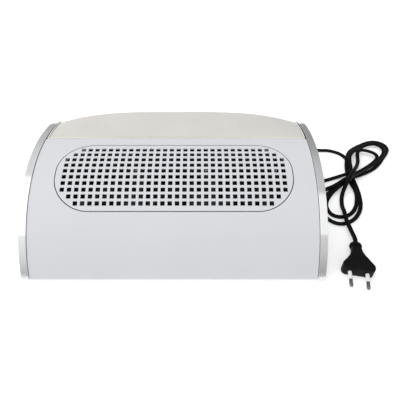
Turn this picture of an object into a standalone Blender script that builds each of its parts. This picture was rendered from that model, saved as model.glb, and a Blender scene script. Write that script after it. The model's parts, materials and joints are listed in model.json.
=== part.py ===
"""A desk-top nail dust collector: an arched housing with a lift-out grille, three suction fans that
blow down and out into a dust bag at the rear, a padded hand rest and a two-core mains lead.

Metres, +Z up. +X is the right side, -Y the front. Side profiles are drawn in Y and Z, with Y counted
from the front bottom edge of the housing; the root empty then centres the whole object on its origin.
"""

import math

import bmesh
import bpy
from mathutils import Matrix, Vector

# Housing
HALF_WIDTH = 0.1604
FLOOR_GAP = 0.003
FRONT_RADIUS = 0.140
REAR_RADIUS = 0.190
CREST_Y = 0.1258
FRONT_ARC_Z = -0.0614
REAR_ARC_Z = FRONT_ARC_Z + FRONT_RADIUS - REAR_RADIUS
REAR_Y = 0.200
REAR_CORNER = 0.008
WALL = 0.003
GAP = 0.0003

# Sides
TRIM_WIDTH = 0.0080
TRIM_PROUD = 0.0008
TRIM_DEPTH = 0.0033
TRIM_INNER_X = HALF_WIDTH - TRIM_WIDTH
COVER_HALF_WIDTH = TRIM_INNER_X - 0.0004
SIDE_PANEL = 0.0034

# Base
BASE_THICK = 0.0025
BASE_TOP = FLOOR_GAP + BASE_THICK
BASE_FRONT = 0.005
BASE_REAR = 0.199
FOOT_RADIUS = 0.009
FOOT_X, FOOT_FRONT_Y, FOOT_REAR_Y = 0.130, 0.030, 0.176
SCREW_X = 0.144
SCREW_Y = (0.026, 0.100, 0.176)
SCREW_BOSS = 0.0042
SCREW_BOSS_Z = 0.009

# Grille
HOLE_PITCH = 0.00764
HOLE_SIDE = 0.0048
HOLE_COUNTS = (28, 30, 32, 32, 32, 32, 32, 32, 30, 28)
GRILLE_HALF_X = 0.1278
GRILLE_HALF_ARC = 0.0424
GRILLE_CORNER = 0.0382
GRILLE_TILT = math.radians(16.8)
GRILLE_THICK = 0.0011
GRILLE_RECESS = 0.0014
GRILLE_CLEARANCE = 0.0010
LEDGE_THICK = 0.0025
LEDGE_REACH = 0.003

# Hand rest
REST_FRONT_Y = 0.1412
REST_STEP = 0.007
REST_HALF_X = 0.1514
REST_REAR_Y = 0.199
BOARD_THICK = 0.002
REST_TOP_FRONT = 0.0803
REST_TOP_REAR = 0.0845
REST_ROLL = 0.012

# Fans
FAN_SIDE = 0.080
FAN_HEIGHT = 0.025
FAN_BORE = 0.038
FAN_X = (-0.084, 0.0, 0.084)
FAN_NAMES = ("left", "middle", "right")
FAN_Y = 0.088
FAN_Z = 0.019
FAN_HUB = 0.016
FAN_BEARING = 0.004
FAN_SCREW_OFFSET = 0.03575
BLADE_COUNT = 7
BLADE_TIP = 0.0365
BLADE_CHORD = 0.020
BLADE_PITCH = math.radians(38)
DECK_Z = FAN_Z + FAN_HEIGHT + GAP
DECK_THICK = 0.0025
DECK_FRONT = 0.0405
DECK_REAR = 0.136
DECK_HALF_X = 0.136

# Rear outlet and dust bag
PANEL_FRONT = 0.1965
PANEL_REAR = 0.199
PANEL_TOP = 0.0554
OUTLET_Z = 0.032
OUTLET_HALF_X, OUTLET_HALF_Z, OUTLET_CORNER = 0.095, 0.019, 0.012
SPIGOT_WALL = 0.002
SPIGOT_END = 0.213
BAG_START = 0.202
BAG_CLOTH = 0.0014
BAG_HALF_X = OUTLET_HALF_X + SPIGOT_WALL + 0.0006 + BAG_CLOTH
BAG_ROUND = 0.012
BAND_Y = 0.2065
BAND_WIDTH = 0.006
BAND_THICK = 0.0016

# Switch, in the right-hand side panel
SWITCH_Y, SWITCH_Z = 0.158, 0.036
SWITCH_BODY = (0.0186, 0.0126)
SWITCH_FLANGE = (0.0210, 0.0150)
SWITCH_OPENING = (0.0162, 0.0098)
ROCKER_TILT = math.radians(9)

# Mains lead
CORD_WIDTH = 0.0052
RELIEF_X, RELIEF_Z, RELIEF_END = 0.128, 0.018, 0.225
LEAD_ROUTE = (
    (0.1280, 0.2256, 0.0180), (0.1284, 0.2320, 0.0170), (0.1315, 0.2400, 0.0125), (0.1385, 0.2485, 0.0065),
    (0.1500, 0.2525, 0.0034), (0.1650, 0.2460, 0.0027), (0.1790, 0.2340, 0.0027), (0.1920, 0.2250, 0.0027),
    (0.2085, 0.2216, 0.0027), (0.2165, 0.2206, 0.0027), (0.2250, 0.2170, 0.0027), (0.2316, 0.2107, 0.0027),
)
HANK_OUTLINE = (
    (0.2358, 0.2050), (0.2500, 0.2215), (0.2660, 0.2330), (0.2870, 0.2430), (0.3000, 0.2370),
    (0.3040, 0.2240), (0.2950, 0.2060), (0.2840, 0.1900), (0.2620, 0.1750), (0.2420, 0.1620),
    (0.2368, 0.1500), (0.2362, 0.1350), (0.2340, 0.1180), (0.2300, 0.1010), (0.2210, 0.0880),
    (0.2090, 0.0770), (0.1960, 0.0740), (0.1840, 0.0790), (0.1740, 0.0890), (0.1670, 0.1040),
    (0.1690, 0.1190), (0.1700, 0.1310), (0.1665, 0.1420), (0.1720, 0.1530), (0.1900, 0.1590),
    (0.2120, 0.1670), (0.2260, 0.1790), (0.2320, 0.1930),
)
HANK_HEIGHT = 0.0135
TAIL_ROUTE = (
    (0.2068, 0.0735, 0.0062), (0.2076, 0.0630, 0.0066), (0.2062, 0.0530, 0.0069), (0.2034, 0.0432, 0.0069),
)
PLUG_AT = (0.2032, 0.0426, 0.0070)
PLUG_TURN = math.radians(168.5)
PLUG_THICK = 0.0137
PLUG_LENGTH = 0.0385
PLUG_SIDE = (
    (0.0050, 0.0035), (0.0052, 0.0085), (0.0062, 0.0135), (0.0085, 0.0190), (0.0118, 0.0244),
    (0.0163, 0.0305), (0.0166, 0.0342), (0.0155, 0.0370), (0.0133, PLUG_LENGTH),
)
PLUG_NECK_THICK, PLUG_NECK_END, PLUG_FULL_AT = 0.0096, 0.010, 0.025
COLLAR = (
    (0, 0), (0.0050, 0), (0.0064, 0.0008), (0.0069, 0.0024), (0.0064, 0.0042), (0.0050, 0.0050), (0, 0.0050),
)
COLLAR_LEAN = math.radians(-8)
PIN_SPACING, PIN_RADIUS, PIN_LENGTH, SLEEVE_LENGTH = 0.0180, 0.002, 0.019, 0.010
PIN_LEAN = math.radians(1.7)

FRONT_OVERHANG = 0.0009
BAG_END = 0.2640
ORIGIN_Y = (BAG_END - FRONT_OVERHANG) / 2

ACROSS = (math.pi / 2, 0, math.pi / 2)
UPRIGHT = (math.pi / 2, 0, 0)
ARC_STEP = math.radians(3)


# Scene and materials

def clear_scene():
    for obj in list(bpy.data.objects):
        bpy.data.objects.remove(obj, do_unlink=True)


def new_collection(name):
    collection = bpy.data.collections.new(name)
    bpy.context.scene.collection.children.link(collection)
    return collection


clear_scene()
PARTS = new_collection("nail_dust_collector")
HELPERS = new_collection("cutters")
ROOT = bpy.data.objects.new("collector_origin", None)
ROOT.location = (0, -ORIGIN_Y, 0)
PARTS.objects.link(ROOT)


def material(name, colour, roughness, metallic=0.0):
    found = bpy.data.materials.get(name)
    if found is None:
        found = bpy.data.materials.new(name)
        found.use_nodes = True
        shader = found.node_tree.nodes["Principled BSDF"]
        shader.inputs["Base Color"].default_value = (*colour, 1)
        shader.inputs["Roughness"].default_value = roughness
        shader.inputs["Metallic"].default_value = metallic
    return found


WHITE_ABS = material("white_abs", (0.80, 0.80, 0.84), 0.22)
CHROME = material("chrome", (0.78, 0.79, 0.80), 0.08, 1.0)
LEATHERETTE = material("cream_leatherette", (0.80, 0.76, 0.70), 0.5)
FIBREBOARD = material("fibreboard", (0.35, 0.24, 0.15), 0.8)
BLACK_PLASTIC = material("black_plastic", (0.02, 0.02, 0.02), 0.45)
GREY_PLASTIC = material("grey_plastic", (0.10, 0.10, 0.11), 0.5)
RUBBER = material("black_rubber", (0.03, 0.03, 0.03), 0.8)
CLOTH = material("white_cloth", (0.75, 0.75, 0.75), 0.9)
ELASTIC = material("elastic", (0.55, 0.55, 0.56), 0.8)
STEEL = material("steel", (0.60, 0.60, 0.62), 0.3, 1.0)
BOARD_GREEN = material("board_green", (0.02, 0.18, 0.08), 0.5)
WINDING = material("yellow_tape", (0.75, 0.55, 0.08), 0.6)
SLEEVE = material("white_sleeve", (0.80, 0.80, 0.80), 0.4)


# Shapes

def mesh_of(obj):
    """The evaluated mesh of an object, welded, with its faces pointing out."""
    graph = bpy.context.evaluated_depsgraph_get()
    mesh = bpy.data.meshes.new_from_object(obj.evaluated_get(graph))
    work = bmesh.new()
    work.from_mesh(mesh)
    bmesh.ops.remove_doubles(work, verts=work.verts, dist=1e-7)
    bmesh.ops.recalc_face_normals(work, faces=work.faces)
    work.to_mesh(mesh)
    work.free()
    return mesh


def add(name, mesh, finish=None, at=(0, 0, 0), turn=(0, 0, 0), parent=ROOT):
    """A named object in the parts collection or, with no material, among the cutters."""
    obj = bpy.data.objects.new(name, mesh)
    (PARTS if finish else HELPERS).objects.link(obj)
    obj.location = at
    obj.rotation_euler = turn
    obj.parent = parent
    if finish:
        obj.data.materials.clear()
        obj.data.materials.append(finish)
        mesh.shade_smooth()
        mesh.set_sharp_from_angle(angle=math.radians(35))
    else:
        obj.hide_render = True
        obj.display_type = "WIRE"
    return obj


def flat_mesh(outlines, thickness):
    """Outlines in local X and Y, filled and given a thickness about their plane. Inner ones are holes."""
    curve = bpy.data.curves.new("outline", "CURVE")
    curve.dimensions = "2D"
    curve.fill_mode = "BOTH"
    curve.extrude = thickness / 2
    for outline in outlines:
        spline = curve.splines.new("POLY")
        spline.points.add(len(outline) - 1)
        for point, place in zip(spline.points, outline):
            point.co = (*place, 0, 1)
        spline.use_cyclic_u = True
    guide = bpy.data.objects.new("outline", curve)
    HELPERS.objects.link(guide)
    mesh = mesh_of(guide)
    bpy.data.objects.remove(guide, do_unlink=True)
    return mesh


def box_mesh(size):
    work = bmesh.new()
    bmesh.ops.create_cube(work, size=1, matrix=Matrix.Diagonal((*size, 1)))
    mesh = bpy.data.meshes.new("box")
    work.to_mesh(mesh)
    work.free()
    return mesh


def rod_mesh(radius, length, sides=32, end_radius=None):
    """A cylinder or cone from Z 0 to length."""
    work = bmesh.new()
    bmesh.ops.create_cone(
        work, cap_ends=True, segments=sides, radius1=radius, radius2=end_radius or radius, depth=length,
        matrix=Matrix.Translation((0, 0, length / 2)),
    )
    mesh = bpy.data.meshes.new("rod")
    work.to_mesh(mesh)
    work.free()
    return mesh


def turned_mesh(profile, steps=32):
    """A profile of (radius, height) points turned about Z."""
    mesh = bpy.data.meshes.new("profile")
    points = [(radius, 0, height) for radius, height in profile]
    mesh.from_pydata(points, [(i, i + 1) for i in range(len(points) - 1)], [])
    guide = bpy.data.objects.new("profile", mesh)
    HELPERS.objects.link(guide)
    screw = guide.modifiers.new("turn", "SCREW")
    screw.steps = screw.render_steps = steps
    screw.use_merge_vertices = True
    screw.merge_threshold = 1e-6
    turned = mesh_of(guide)
    bpy.data.objects.remove(guide, do_unlink=True)
    return turned


def combine(obj, other, operation="DIFFERENCE"):
    modifier = obj.modifiers.new(other.name, "BOOLEAN")
    modifier.operation = operation
    modifier.object = other
    return obj


def finished(obj):
    """The object with its Booleans worked out, keeping its name, place and material."""
    finish = obj.data.materials[0]
    mesh = mesh_of(obj)
    obj.modifiers.clear()
    obj.data = mesh
    mesh.materials.clear()
    mesh.materials.append(finish)
    mesh.shade_smooth()
    mesh.set_sharp_from_angle(angle=math.radians(35))
    return obj


def smooth_through(points, per_span, closed=False):
    """A Catmull-Rom curve through the points, as a list of points."""
    points = [Vector(point) for point in points]
    count = len(points)
    if closed:
        around = [points[-1], *points, points[0], points[1]]
    else:
        around = [2 * points[0] - points[1], *points, 2 * points[-1] - points[-2]]
    line = []
    for i in range(1, count + 1 if closed else count):
        a, b, c, d = around[i - 1 : i + 3]
        for step in range(per_span):
            t = step / per_span
            square, cube = 2 * a - 5 * b + 4 * c - d, 3 * b - a - 3 * c + d
            line.append(0.5 * (2 * b + (c - a) * t + square * t**2 + cube * t**3))
    if not closed:
        line.append(points[-1])
    return [tuple(point) for point in line]


def rounded_rectangle(half_x, half_y, radius, per_corner=8):
    outline = []
    for turn in range(4):
        start = turn * math.pi / 2
        centre_x = (half_x - radius) * (1 if turn in (0, 3) else -1)
        centre_y = (half_y - radius) * (1 if turn < 2 else -1)
        for step in range(per_corner + 1):
            angle = start + step / per_corner * math.pi / 2
            outline.append((centre_x + radius * math.cos(angle), centre_y + radius * math.sin(angle)))
    return outline


# The side profile, seen from +X, with Z counted from the bottom edge of the housing

def arc(centre, radius, start, end):
    """Points of an arc. Angles are counted from straight up, towards the rear."""
    count = max(1, math.ceil(abs(end - start) / ARC_STEP))
    angles = [start + (end - start) * i / count for i in range(count + 1)]
    y, z = centre
    return [(y + radius * math.sin(angle), z + radius * math.cos(angle)) for angle in angles]


def arc_height(y, inset):
    """Height of the housing's surface, moved in by inset, at this Y."""
    if y < CREST_Y:
        return FRONT_ARC_Z + math.sqrt((FRONT_RADIUS - inset) ** 2 - (y - CREST_Y) ** 2)
    return REAR_ARC_Z + math.sqrt((REAR_RADIUS - inset) ** 2 - (y - CREST_Y) ** 2)


def front_arc(inset):
    radius = FRONT_RADIUS - inset
    return arc((CREST_Y, FRONT_ARC_Z), radius, -math.acos(-FRONT_ARC_Z / radius), 0)


def rear_arc(inset, start_y, end_y):
    radius = REAR_RADIUS - inset
    angles = [math.asin((y - CREST_Y) / radius) for y in (start_y, end_y)]
    return arc((CREST_Y, REAR_ARC_Z), radius, *angles)


def envelope(inset):
    """The whole side outline moved in by inset: front bottom edge, over the top, and down the rear."""
    lean = math.asin((REAR_Y - REAR_CORNER - CREST_Y) / (REAR_RADIUS - REAR_CORNER))
    corner = (REAR_Y - REAR_CORNER, REAR_ARC_Z + (REAR_RADIUS - REAR_CORNER) * math.cos(lean))
    over = arc((CREST_Y, REAR_ARC_Z), REAR_RADIUS - inset, 0, lean)[1:]
    down = arc(corner, REAR_CORNER - inset, lean, math.pi / 2)[1:]
    return [*front_arc(inset), *over, *down, (REAR_Y - inset, 0)]


def cover_line(inset):
    """The cover's outer line moved in by inset, with the step down for the hand rest."""
    step_y = REST_FRONT_Y - inset
    low = REST_STEP + inset
    lowered = rear_arc(low, step_y, PANEL_REAR + 0.0005)
    return [*front_arc(inset), *rear_arc(inset, CREST_Y, step_y)[1:], *lowered]


# Housing

def top_cover():
    outline = [*cover_line(0), *reversed(cover_line(WALL))]
    shell = flat_mesh([outline], 2 * COVER_HALF_WIDTH)
    cover = add("top_cover", shell, WHITE_ABS, (0, 0, FLOOR_GAP), ACROSS)
    combine(cover, grille_prism("cover_opening", GRILLE_CLEARANCE))
    combine(cover, grille_ledge(), "UNION")
    combine(cover, cover_bosses(), "UNION")
    for number, (x, y) in enumerate(screw_places()):
        place = (x, y, SCREW_BOSS_Z - 0.002)
        combine(cover, add(f"cover_screw_hole_{number}", rod_mesh(0.0019, 0.016, 10), at=place))
    return finished(cover)


def grille_centre():
    y = CREST_Y - FRONT_RADIUS * math.sin(GRILLE_TILT)
    return (0, y, FLOOR_GAP + FRONT_ARC_Z + FRONT_RADIUS * math.cos(GRILLE_TILT))


def grille_prism(name, margin):
    """The grille's outline, square to the middle of its panel, made larger by margin."""
    half_y = FRONT_RADIUS * math.sin(GRILLE_HALF_ARC / FRONT_RADIUS) + margin
    outline = rounded_rectangle(GRILLE_HALF_X + margin, half_y, GRILLE_CORNER + margin, 12)
    return add(name, flat_mesh([outline], 0.060), at=grille_centre(), turn=(GRILLE_TILT, 0, 0))


def grille_ledge():
    """The ledge under the edge of the opening, which the grille rests on."""
    outline = [*front_arc(GRILLE_RECESS), *rear_arc(GRILLE_RECESS, CREST_Y, REST_FRONT_Y)[1:]]
    inner = GRILLE_RECESS + LEDGE_THICK
    outline += reversed([*front_arc(inner), *rear_arc(inner, CREST_Y, REST_FRONT_Y)[1:]])
    ledge = add("grille_ledge", flat_mesh([outline], 2 * DECK_HALF_X), at=(0, 0, FLOOR_GAP), turn=ACROSS)
    combine(ledge, grille_prism("ledge_outside", LEDGE_REACH), "INTERSECT")
    return combine(ledge, grille_prism("ledge_inside", -LEDGE_REACH))


def screw_places():
    return [(side * SCREW_X, y) for y in SCREW_Y for side in (-1, 1)]


def cover_bosses():
    """Screw bosses hanging from the inside of the cover, trimmed to the middle of its wall."""
    line = cover_line(WALL / 2)
    trim = add("boss_trim", flat_mesh([[*line, (line[-1][0], 0)]], 2 * COVER_HALF_WIDTH), turn=ACROSS)
    trim.location.z = FLOOR_GAP
    work = bmesh.new()
    for x, y in screw_places():
        length = 0.090
        place = Matrix.Translation((x, y, SCREW_BOSS_Z + GAP + length / 2))
        ends = {"radius1": SCREW_BOSS, "radius2": SCREW_BOSS}
        bmesh.ops.create_cone(work, cap_ends=True, segments=12, depth=length, matrix=place, **ends)
    mesh = bpy.data.meshes.new("bosses")
    work.to_mesh(mesh)
    work.free()
    return combine(add("cover_bosses", mesh), trim, "INTERSECT")


def side_parts(side, name):
    """The chrome arch of one side, and the panel set inside it."""
    trim_outline = [*envelope(-TRIM_PROUD), *reversed(envelope(TRIM_DEPTH))]
    middle = TRIM_INNER_X + TRIM_WIDTH / 2
    trim = flat_mesh([trim_outline], TRIM_WIDTH)
    add(f"chrome_trim_{name}", trim, CHROME, (side * middle, 0, FLOOR_GAP), ACROSS)
    panel_outline = envelope(TRIM_DEPTH + GAP)
    middle = TRIM_INNER_X + SIDE_PANEL / 2
    plate = flat_mesh([panel_outline], SIDE_PANEL)
    panel = add(f"side_panel_{name}", plate, WHITE_ABS, (side * middle, 0, FLOOR_GAP), ACROSS)
    if side > 0:
        size = (0.02, SWITCH_BODY[0] + 0.0008, SWITCH_BODY[1] + 0.0008)
        combine(panel, add("switch_cutout", box_mesh(size), at=(middle, SWITCH_Y, SWITCH_Z)))
        finished(panel)


def base_pan():
    size = (2 * COVER_HALF_WIDTH, BASE_REAR - BASE_FRONT, BASE_THICK)
    middle = (0, (BASE_REAR + BASE_FRONT) / 2, FLOOR_GAP + BASE_THICK / 2)
    pan = add("base_pan", box_mesh(size), WHITE_ABS, middle)
    posts = [(x, y, 0.005, FAN_Z - GAP) for x in (-0.120, -0.042, 0.042, 0.120) for y in (0.052, 0.124)]
    posts += [(x, y, SCREW_BOSS + 0.0018, SCREW_BOSS_Z) for x, y in screw_places()]
    posts += [(x, y, 0.003, 0.0117) for x in (0.103, 0.131) for y in (0.147, 0.183)]
    for number, (x, y, radius, top) in enumerate(posts):
        bottom = FLOOR_GAP + BASE_THICK / 2
        post = add(f"base_post_{number}", rod_mesh(radius, top - bottom, 12), at=(x, y, bottom))
        combine(pan, post, "UNION")
    for number, (x, y) in enumerate(screw_places()):
        combine(pan, add(f"base_hole_{number}", rod_mesh(0.0019, 0.02, 10), at=(x, y, 0)))
        combine(pan, add(f"base_counterbore_{number}", rod_mesh(0.0040, 0.0065, 12), at=(x, y, 0)))
    return finished(pan)


def feet():
    top, widest, bottom = (FOOT_RADIUS - 0.0005, 0.0027), (FOOT_RADIUS, 0.0020), (FOOT_RADIUS - 0.0008, 0)
    mesh = turned_mesh([(0, 0.0027), top, widest, bottom, (0, 0)], 20)
    places = [(side * FOOT_X, y, 0) for y in (FOOT_FRONT_Y, FOOT_REAR_Y) for side in (-1, 1)]
    for number, place in enumerate(places, 1):
        add(f"rubber_foot_{number}", mesh, RUBBER, place)


def screw_mesh(head, head_height, shank, length):
    """A pan-head screw, pointing down from Z 0 under its head."""
    slope = head_height * 0.4
    top = [(0, head_height), (head - slope, head_height), (head, head_height - slope), (head, 0)]
    return turned_mesh([*top, (shank, 0), (shank, shank - length), (0, -length)], 10)


def screws():
    mesh = screw_mesh(0.0032, 0.0020, 0.0014, 0.014)
    for number, (x, y) in enumerate(screw_places(), 1):
        add(f"base_screw_{number}", mesh, STEEL, (x, y, 0.0062), (math.pi, 0, 0))
    mesh = screw_mesh(0.0030, 0.0020, 0.0014, 0.012)
    places = [(x + s * FAN_SCREW_OFFSET, FAN_Y + s * FAN_SCREW_OFFSET) for x in FAN_X for s in (-1, 1)]
    for number, (x, y) in enumerate(places, 1):
        add(f"fan_screw_{number}", mesh, STEEL, (x, y, DECK_Z + DECK_THICK + GAP))


# Grille

def grille():
    """A lattice of square holes, bent to the cover's front arc and trimmed to the grille's outline."""
    hole_rows = len(HOLE_COUNTS)
    columns = max(HOLE_COUNTS)

    def lines(count, half):
        middles = [(i - (count - 1) / 2) * HOLE_PITCH for i in range(count)]
        edges = [middle + side * HOLE_SIDE / 2 for middle in middles for side in (-1, 1)]
        return [-half, *edges, half]

    across = lines(columns, GRILLE_HALF_X + 0.002)
    along = lines(hole_rows, GRILLE_HALF_ARC + 0.002)
    work = bmesh.new()
    bmesh.ops.create_grid(work, x_segments=len(across) - 1, y_segments=len(along) - 1, size=0.5)
    work.faces.ensure_lookup_table()
    cells = {}
    for face in work.faces:
        middle = face.calc_center_median()
        cell = (int((middle.x + 0.5) * (len(across) - 1)), int((middle.y + 0.5) * (len(along) - 1)))
        cells[cell] = face
    holes = []
    for row, count in enumerate(HOLE_COUNTS):
        first = (columns - count) // 2
        holes += [cells[2 * column + 1, 2 * row + 1] for column in range(first, first + count)]
    for vertex in work.verts:
        x = across[round((vertex.co.x + 0.5) * (len(across) - 1))]
        y = along[round((vertex.co.y + 0.5) * (len(along) - 1))]
        vertex.co = (x, y, 0)
    bmesh.ops.delete(work, geom=holes, context="FACES")
    top = list(work.faces)
    bottom = bmesh.ops.extrude_face_region(work, geom=top)["geom"]
    for vertex in [item for item in bottom if isinstance(item, bmesh.types.BMVert)]:
        vertex.co.z = -GRILLE_THICK
    bmesh.ops.recalc_face_normals(work, faces=work.faces)
    for vertex in work.verts:
        angle = GRILLE_TILT - vertex.co.y / FRONT_RADIUS
        radius = FRONT_RADIUS + vertex.co.z
        vertex.co.y = CREST_Y - radius * math.sin(angle)
        vertex.co.z = FLOOR_GAP + FRONT_ARC_Z + radius * math.cos(angle)
    mesh = bpy.data.meshes.new("lattice")
    work.to_mesh(mesh)
    work.free()
    panel = combine(add("grille", mesh, WHITE_ABS), grille_prism("grille_outline", 0), "INTERSECT")
    return finished(panel)


# Hand rest

def hand_rest():
    ends = (REST_FRONT_Y + 0.0006, REST_REAR_Y - 0.0006)
    top = rear_arc(REST_STEP - GAP - BOARD_THICK, *ends)
    outline = [*top, *reversed(rear_arc(REST_STEP - GAP, *ends))]
    board = flat_mesh([outline], 2 * REST_HALF_X - 0.003)
    add("hand_rest_board", board, FIBREBOARD, (0, 0, FLOOR_GAP), ACROSS)
    work = bmesh.new()
    bmesh.ops.create_grid(work, x_segments=20, y_segments=8, size=0.5)
    top = list(work.verts)
    made = bmesh.ops.extrude_face_region(work, geom=list(work.faces))["geom"]
    under = {item for item in made if isinstance(item, bmesh.types.BMVert)}
    front = REST_FRONT_Y + 0.0004
    for vertex in top + list(under):
        x = vertex.co.x * 2 * REST_HALF_X
        t = vertex.co.y + 0.5
        y = front + t * (REST_REAR_Y - front)
        low = arc_height(y, REST_STEP - 2 * GAP - BOARD_THICK)
        level = REST_TOP_FRONT + (REST_TOP_REAR - REST_TOP_FRONT) * t
        roll = max(0, y - REST_REAR_Y + REST_ROLL) / REST_ROLL
        crown = (level - arc_height(y, 0)) * (1 - abs(x / REST_HALF_X) ** 3.5) * (1 - 0.4 * roll**2)
        vertex.co = (x, y, FLOOR_GAP + (low if vertex in under else arc_height(y, 0) + crown))
    bmesh.ops.recalc_face_normals(work, faces=work.faces)
    mesh = bpy.data.meshes.new("cushion")
    work.to_mesh(mesh)
    work.free()
    add("hand_rest_cushion", mesh, LEATHERETTE)


# Fans

def fan_frame_mesh():
    block = box_mesh((FAN_SIDE, FAN_SIDE, FAN_HEIGHT))
    frame = add("fan_frame", block, BLACK_PLASTIC, (0, 0, FAN_HEIGHT / 2), parent=None)
    pieces = [(add("fan_bore", rod_mesh(FAN_BORE, 0.05, 32), at=(0, 0, -0.01)), "DIFFERENCE")]
    for number, (x, y) in enumerate(((-1, -1), (1, -1), (1, 1), (-1, 1))):
        place = (x * FAN_SCREW_OFFSET, y * FAN_SCREW_OFFSET, -0.01)
        pieces.append((add(f"fan_hole_{number}", rod_mesh(0.0019, 0.05, 8), at=place), "DIFFERENCE"))
    pieces.append((add("motor_base", rod_mesh(FAN_HUB, 0.0025, 20)), "UNION"))
    pieces.append((add("bearing_tube", rod_mesh(FAN_BEARING, 0.017, 12)), "UNION"))
    for number in range(2):
        bar = box_mesh((2 * FAN_BORE + 0.003, 0.004, 0.0022))
        strut = add(f"fan_strut_{number}", bar, at=(0, 0, 0.0011), turn=(0, 0, number * math.pi / 2))
        pieces.append((strut, "UNION"))
    for piece, operation in pieces:
        piece.parent = None
        combine(frame, piece, operation)
    mesh = mesh_of(frame)
    mesh.transform(frame.matrix_basis)
    bpy.data.objects.remove(frame, do_unlink=True)
    return mesh


def fan_rotor_mesh():
    """The hub and blades. Local Z 0 is the underside of the fan frame."""
    hub = add("fan_hub", rod_mesh(FAN_HUB, 0.020, 24), BLACK_PLASTIC, (0, 0, 0.0035), parent=None)
    reach = BLADE_TIP - FAN_HUB + 0.002
    for number in range(BLADE_COUNT):
        turn = Matrix.Rotation(number * 2 * math.pi / BLADE_COUNT, 4, "Z")
        lean = Matrix.Rotation(BLADE_PITCH, 4, "X")
        place = turn @ Matrix.Translation((BLADE_TIP - reach / 2, 0, 0.014)) @ lean
        blade = add(f"fan_blade_{number}", box_mesh((reach, BLADE_CHORD, 0.0015)), parent=None)
        blade.matrix_basis = place
        combine(hub, blade, "UNION")
    bore = add("rotor_bore", rod_mesh(FAN_BEARING + 0.0006, 0.018, 12), parent=None)
    combine(hub, bore)
    mesh = mesh_of(hub)
    mesh.transform(hub.matrix_basis)
    bpy.data.objects.remove(hub, do_unlink=True)
    return mesh


def fans():
    frame_mesh = fan_frame_mesh()
    rotor_mesh = fan_rotor_mesh()
    for name, x in zip(FAN_NAMES, FAN_X):
        add(f"fan_frame_{name}", frame_mesh, BLACK_PLASTIC, (x, FAN_Y, FAN_Z))
        add(f"fan_rotor_{name}", rotor_mesh, GREY_PLASTIC, (x, FAN_Y, FAN_Z))


def fan_deck():
    """The plate over the fans, with walls at the rear and the ends that seal it to the cover."""
    middle_y = (DECK_FRONT + DECK_REAR) / 2
    length = DECK_REAR - DECK_FRONT
    deck = add(
        "fan_deck", box_mesh((2 * DECK_HALF_X, length, DECK_THICK)), GREY_PLASTIC,
        (0, middle_y, DECK_Z + DECK_THICK / 2),
    )
    wall, height = 0.002, 0.060
    walls = [((2 * DECK_HALF_X, wall, height), (0, DECK_REAR - wall / 2))]
    walls += [((wall, length, height), (side * (DECK_HALF_X - wall / 2), middle_y)) for side in (-1, 1)]
    for number, (size, (x, y)) in enumerate(walls):
        piece = add(f"deck_wall_{number}", box_mesh(size), at=(x, y, DECK_Z + height / 2))
        combine(deck, piece, "UNION")
    line = [*front_arc(WALL + 0.0004), *rear_arc(WALL + 0.0004, CREST_Y, REST_FRONT_Y)[1:]]
    room = flat_mesh([[*line, (REST_FRONT_Y, 0)]], 0.300)
    combine(deck, add("deck_cavity", room, at=(0, 0, FLOOR_GAP), turn=ACROSS), "INTERSECT")
    for name, x in zip(FAN_NAMES, FAN_X):
        combine(deck, add(f"deck_bore_{name}", rod_mesh(FAN_BORE, 0.02, 32), at=(x, FAN_Y, DECK_Z - 0.01)))
        for sign in (-1, 1):
            place = (x + sign * FAN_SCREW_OFFSET, FAN_Y + sign * FAN_SCREW_OFFSET, DECK_Z - 0.01)
            combine(deck, add(f"deck_hole_{name}_{sign}", rod_mesh(0.0019, 0.02, 8), at=place))
    return finished(deck)


# Rear panel and dust bag

def rear_panel():
    half_x, low = COVER_HALF_WIDTH - 0.0003, BASE_TOP + GAP
    plate = rounded_rectangle(half_x, (PANEL_TOP - low) / 2, 0.002, 2)
    thick = PANEL_REAR - PANEL_FRONT
    middle = (0, PANEL_FRONT + thick / 2, (PANEL_TOP + low) / 2)
    panel = add("rear_panel", flat_mesh([plate], thick), WHITE_ABS, middle, UPRIGHT)
    wide = SPIGOT_WALL
    rim = rounded_rectangle(OUTLET_HALF_X + wide, OUTLET_HALF_Z + wide, OUTLET_CORNER + wide, 6)
    start = PANEL_FRONT + 0.001
    middle = (0, (SPIGOT_END + start) / 2, OUTLET_Z)
    spigot = add("outlet_spigot", flat_mesh([rim], SPIGOT_END - start), at=middle, turn=UPRIGHT)
    combine(panel, spigot, "UNION")
    opening = rounded_rectangle(OUTLET_HALF_X, OUTLET_HALF_Z, OUTLET_CORNER, 6)
    middle = (0, PANEL_REAR, OUTLET_Z)
    combine(panel, add("outlet", flat_mesh([opening], 0.060), at=middle, turn=UPRIGHT))
    middle = (RELIEF_X, PANEL_REAR + 0.01, RELIEF_Z)
    combine(panel, add("relief_hole", rod_mesh(0.0045, 0.02, 20), at=middle, turn=UPRIGHT))
    return finished(panel)


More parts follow.
